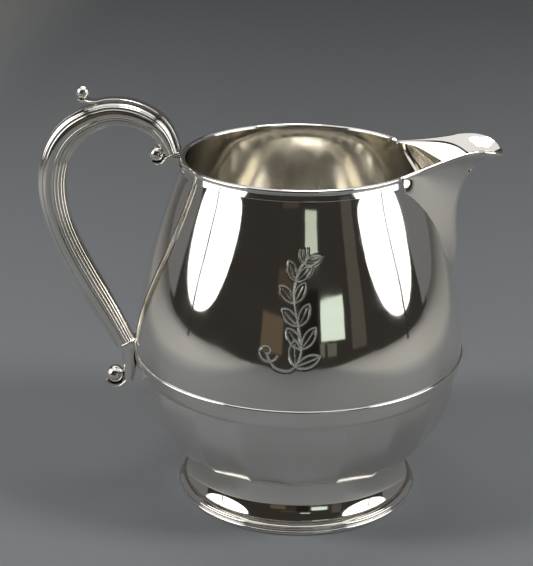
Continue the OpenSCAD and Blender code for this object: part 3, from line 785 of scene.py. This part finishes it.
def sweepTree():
    tree, start, end, named = nodeTree("sectionAlongPath", [("Section", "NodeSocketObject", None),
                                                            ("Material", "NodeSocketMaterial", None)])
    add = adder(tree)
    path = add("GeometryNodeMeshToCurve", {"Mesh": start.outputs["Geometry"]})
    depth = add("GeometryNodeInputNamedAttribute", {"Name": "halfDepth"}, data_type="FLOAT")
    share = add("GeometryNodeInputNamedAttribute", {"Name": "widthShare"}, data_type="FLOAT")
    sectionInfo = add("GeometryNodeObjectInfo", {"Object": start.outputs["Section"]})
    section = add("GeometryNodeMeshToCurve", {"Mesh": sectionInfo.outputs["Geometry"]})
    sweep = add("GeometryNodeCurveToMesh", {"Curve": path.outputs[0], "Profile Curve": section.outputs[0],
                                            "Scale": depth.outputs["Attribute"], "Fill Caps": True})
    # the width does not follow the depth
    position = add("GeometryNodeInputPosition")
    split = add("ShaderNodeSeparateXYZ", {0: position.outputs[0]})
    scaled = add("ShaderNodeMath", {0: split.outputs["Y"], 1: share.outputs["Attribute"]},
                 operation="MULTIPLY")
    join = add("ShaderNodeCombineXYZ", {"X": split.outputs["X"], "Y": scaled.outputs[0],
                                        "Z": split.outputs["Z"]})
    move = add("GeometryNodeSetPosition", {"Geometry": sweep.outputs[0], "Position": join.outputs[0]})
    finishTree(tree, move.outputs[0], start, end)
    return tree, named


sweeps, sweepNames = sweepTree()


def handleHalf(name, side):
    outline, inner = reedSection()
    loop = outline + inner[1:-1]
    # the section's first axis is sideways and its second outwards
    points = [(side * v, -u, 0.0) for u, v in loop]
    section = bpy.data.meshes.new(name + "Section")
    section.from_pydata(points, [(i, (i + 1) % len(points)) for i in range(len(points))], [])
    holder = bpy.data.objects.new(name + "Section", section)
    bpy.context.scene.collection.objects.link(holder)
    s = np.linspace(0, lastKnot, handle["rings"] + 1)
    c = spine(s)
    path = pathMesh(name + "Path", [(x, 0, z) for x, z in c])
    half, share = depthAt(s) / 2, widthAt(s) / depthAt(s)
    for label, values in (("halfDepth", half * mm), ("widthShare", share)):
        layer = path.attributes.new(label, "FLOAT", "POINT")
        layer.data.foreach_set("value", [float(v) for v in values])
    values = {"Section": holder, "Material": handleSilver}
    piece = outward(runTree(name, path, sweeps, sweepNames, values, 28))
    bpy.data.objects.remove(holder)
    return piece


finishPiece(handleHalf("handleLeftHalf", -1), ["handle_left_half"])
finishPiece(handleHalf("handleRightHalf", 1), ["handle_right_half"])
print("handle made")

ends = {"stripW": 6.5, "stripT": 1.3, "thumbR": 3.0, "lift": 4.6, "upperR": 3.6, "lowerR": 4.4,
        "scrollW": 9.0, "collarT": 1.3, "plateT": 1.2, "sides": 28}


def tongue(name, rows, width, steps, node, square=0.6):
    # flat tapering strip along a row of (x, z, thickness)
    s = np.linspace(0, len(rows) - 1, steps + 1)
    k = through(rows, s)
    d = through(rows, np.minimum(len(rows) - 1, s + 0.05)) - through(rows, np.maximum(0, s - 0.05))
    q = np.stack([d[:, 1], -d[:, 0]], 1) / np.hypot(d[:, 0], d[:, 1])[:, None]
    a = (np.arange(ends["sides"]) + 0.5) * 2 * math.pi / ends["sides"]
    c, w = np.cos(a), np.sin(a)
    u = 0.98 * np.sign(c) * abs(c) ** square
    v = 0.98 * np.sign(w) * abs(w) ** square
    rings = [[(x + qx * out * thick / 2, wide * width / 2, z + qz * out * thick / 2)
              for out, wide in zip(u, v)] for (x, z, thick), (qx, qz) in zip(k, q)]
    finishPiece(makePiece(name, *ringGrid(rings), handleSilver, 38), [node])


def ball(name, at, r, node):
    rings = [[(at[0] + r * math.sin(e) * math.cos(a), r * math.sin(e) * math.sin(a), at[1] + r * math.cos(e))
              for a in np.linspace(0, 2 * math.pi, 65)[:-1]] for e in np.linspace(0.02, math.pi - 0.02, 40)]
    finishPiece(makePiece(name, *ringGrid(rings), wireSilver), [node])


def endCollar(name, s, start, reach, node):
    # rounded bar across the reeds
    c, o = spine([s])[0], outDir([s])[0]
    along = np.array([-o[1], o[0]])
    deep, wide = depthAt([s])[0] + 1.2, widthAt([s])[0] + 1.2
    r = 0.56 * wide
    loop = []
    for a in np.radians(np.arange(0, 360, 5)):
        direction = np.array([math.cos(a), math.sin(a)])
        reachU = (deep * reach if direction[0] > 0 else deep / 2) / max(1e-6, abs(direction[0]))
        loop.append(direction * min(r, reachU, wide / 2 / max(1e-6, abs(direction[1]))))
    rings = []
    for t, shrink in ((0, 0.5), (0.08, 0.2), (0.25, 0.04), (0.5, 0), (0.75, 0.04), (0.92, 0.2), (1, 0.5)):
        h = start + t * ends["collarT"]
        rings.append([(c[0] + o[0] * p[0] + along[0] * h, p[1], c[1] + o[1] * p[0] + along[1] * h)
                      for p in (q * (1 - shrink / max(2.0, np.linalg.norm(q))) for q in loop)])
    finishPiece(makePiece(name, *ringGrid(rings), wireSilver, 40), [node])


def wrap(at, r, first, last, thick, n):
    # rows of a strip that lies round a ball and thins towards its tip
    rows = []
    for i in range(n + 1):
        a = math.radians(mix(first, last, i / n))
        t = mix(thick, 0.8, float(smoothStep(i / n)))
        rows.append((at[0] + (r + t / 2) * math.cos(a), at[1] + (r + t / 2) * math.sin(a), t))
    return rows


topEnd, lowEnd = spine([0])[0], spine([lastKnot])[0]
onStrip = np.linspace(0.12, ends["lift"], 13)
strip = [(p[0], p[1], ends["stripT"]) for p in place(onStrip, depthAt(onStrip) / 2 + ends["stripT"] / 2)]
liftOff = strip[-1]
thumbAt = (liftOff[0] - 5.6, liftOff[1] + ends["thumbR"] + 1)
curlR = ends["thumbR"] + ends["stripT"] / 2
curl = [(thumbAt[0] + curlR * math.cos(math.radians(a)), thumbAt[1] + curlR * math.sin(math.radians(a)),
         ends["stripT"] * (0.5 if a < -120 else 0.9)) for a in (-75, -100, -128)]
tongue("thumbStrip", strip + curl, ends["stripW"], 150, "thumb_strip")
ball("thumbBall", thumbAt, ends["thumbR"], "thumb_ball")

upperAt = (topEnd[0] - 3.4 - ends["upperR"], topEnd[1] - 0.9)
tongue("upperScroll", [(topEnd[0] - 2.4, topEnd[1] - ends["collarT"] - 1.4, 2.6)]
       + wrap(upperAt, ends["upperR"], -55, -125, 2, 4), ends["scrollW"] - 1.5, 60, "upper_scroll", 0.8)
ball("upperBall", upperAt, ends["upperR"], "upper_ball")
endCollar("upperCollar", 0, -ends["collarT"], 0.5, "upper_collar")
endCollar("lowerCollar", lastKnot, 0, 0.1, "lower_collar")

lowerAt = (lowEnd[0] - 0.8 - ends["lowerR"], lowEnd[1] - 17.7)
edge = -(bandR + 0.05) - ends["plateT"] + 0.17
rows = [(edge - 4.5, lowEnd[1] - 0.1, 9), (edge - 4, lowEnd[1] - 7.9, 6.3),
        (edge - 3.8, lowEnd[1] - 12.6, 6.7)]
for a, t in ((-10, 4.9), (-35, 2.8), (-65, 1.6), (-105, 1), (-150, 0.8)):
    r = ends["lowerR"] + t / 2
    rows.append((lowerAt[0] + r * math.cos(math.radians(a)), lowerAt[1] + r * math.sin(math.radians(a)), t))
tongue("lowerScroll", rows, ends["scrollW"], 110, "lower_scroll", 0.85)
ball("lowerBall", lowerAt, ends["lowerR"], "lower_ball")
print("handle ends made")

view = {"lens": 93.973, "turn": 2.744, "tilt": 20.956, "roll": 0.387, "at": (0.015705, -0.648763, 0.350261)}
camera = bpy.data.cameras.new("camera")
camera.lens, camera.sensor_width = view["lens"], 36.0
camera.clip_start, camera.clip_end = 0.02, 30
cameraPiece = bpy.data.objects.new("camera", camera)
bpy.context.scene.collection.objects.link(cameraPiece)
turn, tilt, roll = (math.radians(view[label]) for label in ("turn", "tilt", "roll"))
right = Vector((math.cos(turn), math.sin(turn), 0))
back = Vector((math.sin(turn) * math.cos(tilt), -math.cos(turn) * math.cos(tilt), math.sin(tilt)))
up = back.cross(right)
sideways = right * math.cos(roll) + up * math.sin(roll)
upright = up * math.cos(roll) - right * math.sin(roll)
axes = Matrix((sideways, upright, back)).transposed().to_4x4()
cameraPiece.matrix_world = Matrix.Translation(view["at"]) @ axes
bpy.context.scene.camera = cameraPiece

# the floor's near tone is painted shade round the object, and its side tone is painted light towards the
# lamps
studio = {"floorNearPaintedShade": (0.43, 0.452, 0.478, 1), "floorFar": (0.48, 0.505, 0.532, 1),
          "floorSidesPaintedLight": (0.88, 0.88, 0.86, 1), "roomTone": (0.030, 0.028, 0.025, 1),
          "surround": (0.125, 0.131, 0.138),
          "lampPower": 4.6, "keyPower": 3.1, "topFill": 1.05, "backFill": 0.2,
          "roof": 0.8, "roofLamp": 10.0, "sideTone": 0.15, "windowLight": 0.85}


def floorMaterial():
    # matt paper with painted shade: a little darker round the object, where the light falls off
    mat = bpy.data.materials.new("paleFloor")
    mat.use_nodes = True
    tree = mat.node_tree
    add = adder(tree)
    place = add("ShaderNodeTexCoord").outputs["Object"]
    squeeze = add("ShaderNodeMapping", {"Scale": (1.0, 0.12, 1.0), "Vector": place})
    reach = add("ShaderNodeVectorMath", {0: squeeze.outputs[0]}, operation="LENGTH")
    tone = studio["floorNearPaintedShade"]
    # painted light: paler again far to the sides, towards the lamps, which only the silver sees
    for first, last, colour in ((0.0, 0.30, studio["floorFar"]), (0.30, 0.48, studio["floorSidesPaintedLight"])):
        share = add("ShaderNodeMapRange", {"From Min": first, "From Max": last,
                                           "Value": reach.outputs["Value"]},
                    interpolation_type="SMOOTHSTEP")
        blend = add("ShaderNodeMix", {"Factor": share.outputs[0], "A": tone, "B": colour}, data_type="RGBA")
        tone = blend.outputs["Result"]
    fibre = add("ShaderNodeTexNoise", {"Scale": 420.0, "Detail": 4.0, "Vector": place})
    bump = add("ShaderNodeBump", {"Strength": 0.25, "Distance": 0.0003, "Height": fibre.outputs["Fac"]})
    shader = tree.nodes["Principled BSDF"]
    shader.inputs["Roughness"].default_value = 0.85
    shader.inputs["Specular IOR Level"].default_value = 0.15
    tree.links.new(tone, shader.inputs["Base Color"])
    tree.links.new(bump.outputs[0], shader.inputs["Normal"])
    return mat


def stagePiece(name, points, faces, material, seen=True):
    mesh = bpy.data.meshes.new(name)
    mesh.from_pydata(points, [], faces)
    mesh.materials.append(material)
    mesh.polygons.foreach_set("use_smooth", [True] * len(mesh.polygons))
    piece = bpy.data.objects.new(name, mesh)
    piece.visible_camera = seen
    bpy.context.scene.collection.objects.link(piece)
    return piece


def buildFloor():
    # sheet that widens towards the back and turns up far behind the object
    rows = [(y, 0.0) for y in (-0.85, -0.5, -0.2, 0.1, 0.4, 0.7, 1.0, 1.5, 2.0, 2.4)]
    rows += [(2.4 + 0.8 * math.sin(a), 0.8 - 0.8 * math.cos(a)) for a in np.linspace(0.1, math.pi / 2, 14)]
    rows += [(3.2, 2.6)]
    half = [float(np.interp(y, (-0.85, 0, 0.4, 1.0), (1.1, 1.35, 1.7, 3.4))) for y, _ in rows]
    points = [(side * w, y, z) for (y, z), w in zip(rows, half) for side in (-1, 1)]
    faces = [(2 * i, 2 * i + 1, 2 * i + 3, 2 * i + 2) for i in range(len(rows) - 1)]
    stagePiece("floor", points, faces, floorMaterial())


buildFloor()


def away(azimuth, elevation):
    a, e = math.radians(azimuth), math.radians(elevation)
    return Vector((math.sin(a) * math.cos(e), -math.cos(a) * math.cos(e), math.sin(e)))


def lamp(name, at, facing, size, power, shape="DISK", glossy=True, diffuse=True):
    light = bpy.data.lights.new(name, "AREA")
    light.shape = shape
    light.size, light.size_y = size
    light.energy = power
    piece = bpy.data.objects.new(name, light)
    piece.location = at
    piece.rotation_euler = Vector(facing).to_track_quat("-Z", "Y").to_euler()
    piece.visible_camera = False
    piece.visible_glossy = glossy
    piece.visible_diffuse = diffuse
    bpy.context.scene.collection.objects.link(piece)


# each big disc is only mirrored; a smaller key above it lights the floor
for name, azimuth in (("leftLamp", -76), ("rightLamp", 78)):
    d = away(azimuth, 24)
    lamp(name, d * 1.05 + Vector((0, 0, 0.12)), -d, (0.93, 0.93), studio["lampPower"], diffuse=False)
    high = away(0.93 * azimuth, 48)
    lamp(name + "Key", high * 1.3, -high, (0.35, 0.35), studio["keyPower"], glossy=False)
# pale roof with a small bright lamp in it that is only mirrored, and two fills for the sheet far behind
roofSize = (1.9, 2.3)
lamp("roof", (0, 0.2, 1.4), (0, 0, -1), roofSize, studio["roof"] * math.pi * roofSize[0] * roofSize[1],
     "RECTANGLE", diffuse=False)
lamp("roofLamp", (0.1, 0.3, 1.35), (0, 0, -1), (0.5, 0.5), studio["roofLamp"] * math.pi * math.pi * 0.25 ** 2,
     diffuse=False)
lamp("topFill", (0, 0.25, 1.4), (0, -0.15, -1), (0.55, 0.55), studio["topFill"], glossy=False)
for side in (-1, 1):
    lamp("backFill", (1.5 * side, 1.1, 1.6), (0, 0.35, -1), (0.9, 0.9), studio["backFill"], glossy=False)


def glowing(name, tone):
    mat = bpy.data.materials.new(name)
    mat.use_nodes = True
    tree = mat.node_tree
    tree.nodes.clear()
    glow = tree.nodes.new("ShaderNodeEmission")
    glow.inputs["Color"].default_value = (*tone, 1)
    tree.links.new(glow.outputs[0], tree.nodes.new("ShaderNodeOutputMaterial").inputs["Surface"])
    return mat


def card(name, azimuth, elevation, tone, distance=2.5):
    # glowing card that stands in for a part of the room; azimuth and elevation are ranges
    points = [tuple(away(azimuth[i], elevation[j]) * distance + Vector((0, 0, 0.12)))
              for i, j in ((0, 0), (1, 0), (1, 1), (0, 1))]
    stagePiece(name, points, [(0, 1, 2, 3)], glowing(name, tone), seen=False)


# lit sheets hung on both sides of the back part
sideGlow = glowing("sideSheet", (studio["sideTone"], 1.01 * studio["sideTone"], 1.04 * studio["sideTone"]))
for side in (-1, 1):
    path = [(2.3, 0.34), (2.4, 1.2), (2.4, 2.2), (2.4, 3.2)]
    points = [(side * x, y, z) for x, y in path for z in (0.0, 2.2)]
    stagePiece("sideSheet", points, [(0, 1, 3, 2), (2, 3, 5, 4), (4, 5, 7, 6)], sideGlow)

# a window, a doorway and walls of the room in front of the object
glow = studio["windowLight"]
card("windowLow", (17, 33), (2, 12), (0.86 * glow, 1.0 * glow, 0.88 * glow))
card("windowHigh", (6, 16), (19, 22.5), (0.62 * glow, 0.70 * glow, 0.58 * glow))
card("cornerWall", (2, 15), (-3, 15), (0.012, 0.011, 0.009), 2.6)
card("doorway", (16, 19), (-3, 1.5), (0.12, 0.13, 0.115), 2.55)
card("shelf", (21, 27), (-3, 1.2), (0.11, 0.11, 0.09), 2.55)
card("woodWall", (-24, -9), (-2, 9), (0.10, 0.078, 0.053), 2.6)
card("woodHigh", (-14, 0), (13, 18), (0.062, 0.045, 0.034), 2.6)
card("farWall", (38, 48), (-2, 24), (0.075, 0.07, 0.06), 2.6)


def pole(name, azimuth):
    # stand of a lamp, seen as a dark line in its reflection
    at, thick = away(azimuth, 0), 0.013
    ring = [(thick * math.cos(a), thick * math.sin(a)) for a in np.linspace(0, 2 * math.pi, 13)[:-1]]
    points = [(at.x + x, at.y + y, z) for z in (0.0, 0.95) for x, y in ring]
    faces = [(j, (j + 1) % 12, 12 + (j + 1) % 12, 12 + j) for j in range(12)]
    mat = bpy.data.materials.new("dark")
    mat.use_nodes = True
    mat.node_tree.nodes["Principled BSDF"].inputs["Base Color"].default_value = (0.02, 0.02, 0.02, 1)
    stagePiece(name, points, faces, mat, seen=False)


# plain surround for the views from other sides, which the silver does not mirror
surroundRing = [away(360 * k / 64, 0) * 4.2 for k in range(64)]
surroundPoints = [(p.x, p.y, z) for z in (-2.0, 6.0) for p in surroundRing]
surroundFaces = [(k, 64 + k, 64 + (k + 1) % 64, (k + 1) % 64) for k in range(64)]
surround = stagePiece("surround", surroundPoints, surroundFaces, glowing("surroundTone", studio["surround"]))
surround.visible_glossy = surround.visible_diffuse = surround.visible_shadow = False

pole("leftPole", -77)
pole("rightPole", 79)

world = bpy.data.worlds.new("room")
world.use_nodes = True
world.node_tree.nodes["Background"].inputs["Color"].default_value = studio["roomTone"]
world.node_tree.nodes["Background"].inputs["Strength"].default_value = 1.0
bpy.context.scene.world = world
bpy.context.scene.view_settings.view_transform = "Standard"
print("stage made")

for name in ("upper_bracket", "lower_plate"):
    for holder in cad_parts[name].material_slots:
        holder.material = handleSilver
